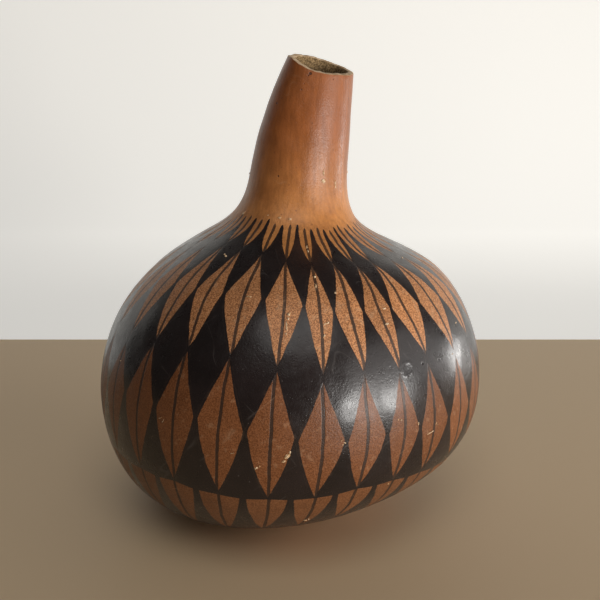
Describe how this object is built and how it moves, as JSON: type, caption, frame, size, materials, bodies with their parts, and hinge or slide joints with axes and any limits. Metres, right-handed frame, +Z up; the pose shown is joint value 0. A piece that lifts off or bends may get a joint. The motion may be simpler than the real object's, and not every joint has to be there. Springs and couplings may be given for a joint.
{
  "type": "dried bottle gourd",
  "caption": "Dried, hollow bottle gourd with a round body, a leaning neck cut off at a slant and an open mouth, ornamented with rings of dark lozenges.",
  "frame": {"origin": "on the flat foot, under the middle of the body's widest ring", "axes": "+Z up along the gourd's height, -Y towards the front, +X towards the side that the neck leans to"},
  "size_m": [0.2913, 0.291, 0.3415],
  "materials": {
    "gourd_skin": "dried gourd skin: waxy orange-tan neck, burnt near-black ground and scraped brown lozenges on the body"
  },
  "bodies": {
    "root": {"gourd": "gourd_skin"}
  },
  "joints": []
}
